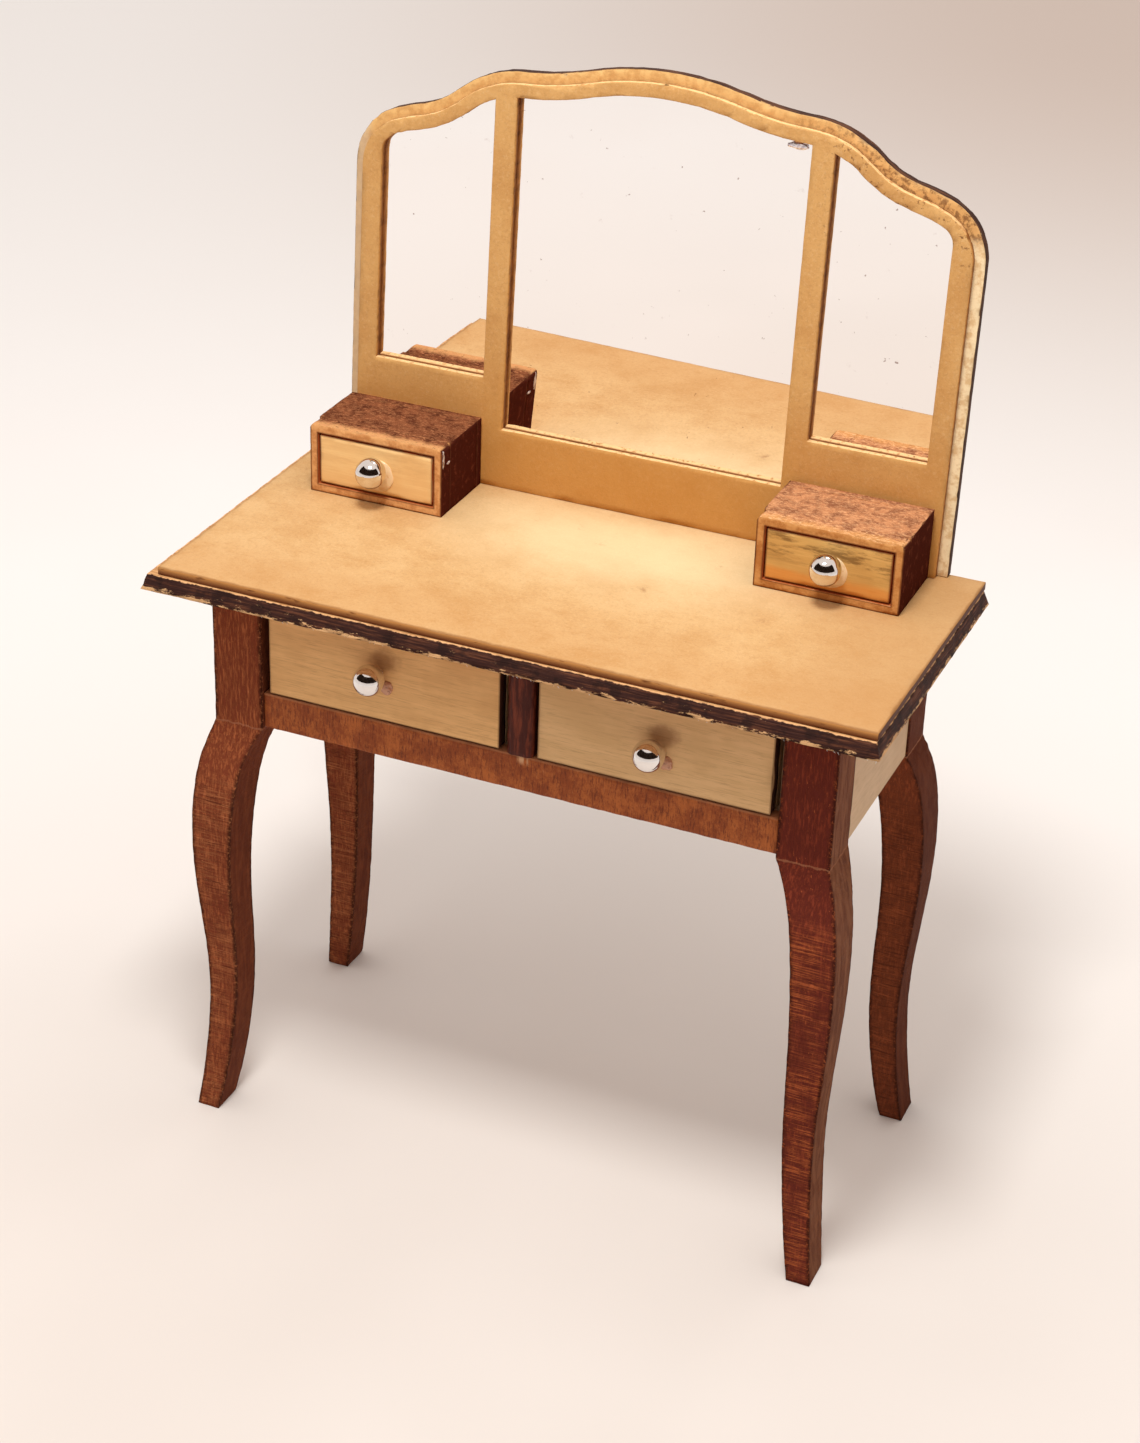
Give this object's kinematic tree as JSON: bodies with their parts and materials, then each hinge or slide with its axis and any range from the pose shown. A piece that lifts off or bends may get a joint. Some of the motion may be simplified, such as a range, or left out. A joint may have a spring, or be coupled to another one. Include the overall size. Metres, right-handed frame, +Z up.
{
  "type": "miniature dressing table",
  "caption": "Doll's house dressing table with curved legs, a three-part mirror standing behind the top, drawers below the top and small drawer cases on it.",
  "frame": {"origin": "floor level, under the middle of the whole object's bounding box", "axes": "+Z up, -Y towards whoever sits at the table, +X to the right as seen from the front"},
  "size_m": [0.0734, 0.0364, 0.107],
  "materials": {
    "dark_edged_ply": "thin ply, scorched dark brown along its cut edges, matte",
    "kraft_card": "warm kraft card, mottled, matte",
    "stained_wood": "reddish brown stain over ply, matte with a slight sheen",
    "pale_wood": "bare pale birch ply, fine grain, matte",
    "case_wood": "brown stained ply with darker sides, matte",
    "small_front_wood": "light tan stain, mottled, matte",
    "bright_metal": "polished bright metal",
    "mirror": "clear mirror sheet with a few faint smudges"
  },
  "bodies": {
    "table": {"top_board": "dark_edged_ply", "top_sheet": "kraft_card", "leg_front_left": "stained_wood", "leg_front_right": "stained_wood", "leg_rear_left": "stained_wood", "leg_rear_right": "stained_wood", "front_rail": "stained_wood", "centre_post": "stained_wood", "side_apron_left": "pale_wood", "side_apron_right": "pale_wood", "back_apron": "pale_wood", "drawer_shelf": "pale_wood", "centre_divider": "pale_wood", "drawer_guide_left": "pale_wood", "drawer_guide_right": "pale_wood", "case_left_front": "case_wood", "case_left_body": "case_wood", "case_left_back": "case_wood", "case_right_front": "case_wood", "case_right_body": "case_wood", "case_right_back": "case_wood", "mirror_frame": "kraft_card", "mirror_glass": "mirror", "mirror_back": "dark_edged_ply"},
    "drawer_left": {"drawer_left_front": "pale_wood", "drawer_left_side_left": "pale_wood", "drawer_left_side_right": "pale_wood", "drawer_left_bottom": "pale_wood", "drawer_left_back": "pale_wood", "drawer_left_knob": "bright_metal"},
    "small_drawer_left": {"small_drawer_left_front": "small_front_wood", "small_drawer_left_side_left": "pale_wood", "small_drawer_left_side_right": "pale_wood", "small_drawer_left_bottom": "pale_wood", "small_drawer_left_back": "pale_wood", "small_drawer_left_knob": "bright_metal"},
    "drawer_right": {"drawer_right_front": "pale_wood", "drawer_right_side_left": "pale_wood", "drawer_right_side_right": "pale_wood", "drawer_right_bottom": "pale_wood", "drawer_right_back": "pale_wood", "drawer_right_knob": "bright_metal"},
    "small_drawer_right": {"small_drawer_right_front": "small_front_wood", "small_drawer_right_side_left": "pale_wood", "small_drawer_right_side_right": "pale_wood", "small_drawer_right_bottom": "pale_wood", "small_drawer_right_back": "pale_wood", "small_drawer_right_knob": "bright_metal"}
  },
  "joints": [
    {"name": "drawer_left_slide", "type": "slide", "parent": "table", "child": "drawer_left", "axis": [0, -1, 0], "range_m": [0, 0.02]},
    {"name": "drawer_right_slide", "type": "slide", "parent": "table", "child": "drawer_right", "axis": [0, -1, 0], "range_m": [0, 0.02]},
    {"name": "small_drawer_left_slide", "type": "slide", "parent": "table", "child": "small_drawer_left", "axis": [0, -1, 0], "range_m": [0, 0.0055]},
    {"name": "small_drawer_right_slide", "type": "slide", "parent": "table", "child": "small_drawer_right", "axis": [0, -1, 0], "range_m": [0, 0.0055]}
  ]
}
